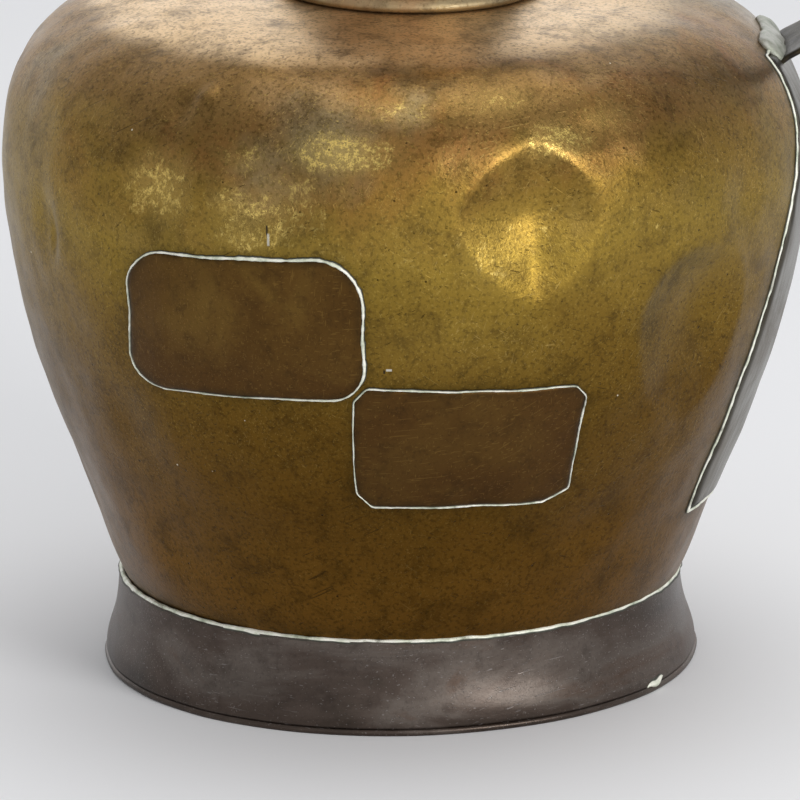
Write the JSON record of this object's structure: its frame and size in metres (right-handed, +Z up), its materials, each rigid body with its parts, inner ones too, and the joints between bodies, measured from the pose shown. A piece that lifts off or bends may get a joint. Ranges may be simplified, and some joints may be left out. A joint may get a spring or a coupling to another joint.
{
  "type": "water jug",
  "caption": "Large hand-beaten brass and copper water jug with a flared foot ring, soldered repair patches, a side plate and a strap handle to a waisted neck.",
  "frame": {"origin": "centre of the circle that the foot stands on", "axes": "+Z up, +X towards the handle, -X towards the pouring lip, -Y towards the patched front"},
  "size_m": [0.3634, 0.32, 0.4061],
  "materials": {
    "body_metal": "aged, browned brass with copper-brown shoulder, dull satin",
    "patch_metal": "browned brass sheet, dull",
    "tinned_metal": "old tinned copper, grey-brown and worn",
    "plate_metal": "tinned plate, lightly brushed along its length",
    "strap_metal": "black patina",
    "solder": "pale soft solder, matte",
    "neck_metal": "copper-brown patina, dull satin"
  },
  "bodies": {
    "root": {"body_shell": "body_metal", "base_plate": "body_metal", "base_plate_solder": "solder", "foot_ring": "tinned_metal", "foot_edge_wire": "tinned_metal", "foot_solder_seam": "solder", "foot_solder_drip": "solder", "patch_left": "patch_metal", "patch_left_solder": "solder", "patch_right": "patch_metal", "patch_right_solder": "solder", "handle_back_plate": "plate_metal", "back_plate_solder": "solder", "handle_strap": "strap_metal", "handle_root_solder": "solder", "handle_top_saddle": "strap_metal", "handle_top_solder": "solder", "neck": "neck_metal", "neck_collar": "neck_metal", "rim_band": "neck_metal"}
  },
  "joints": []
}
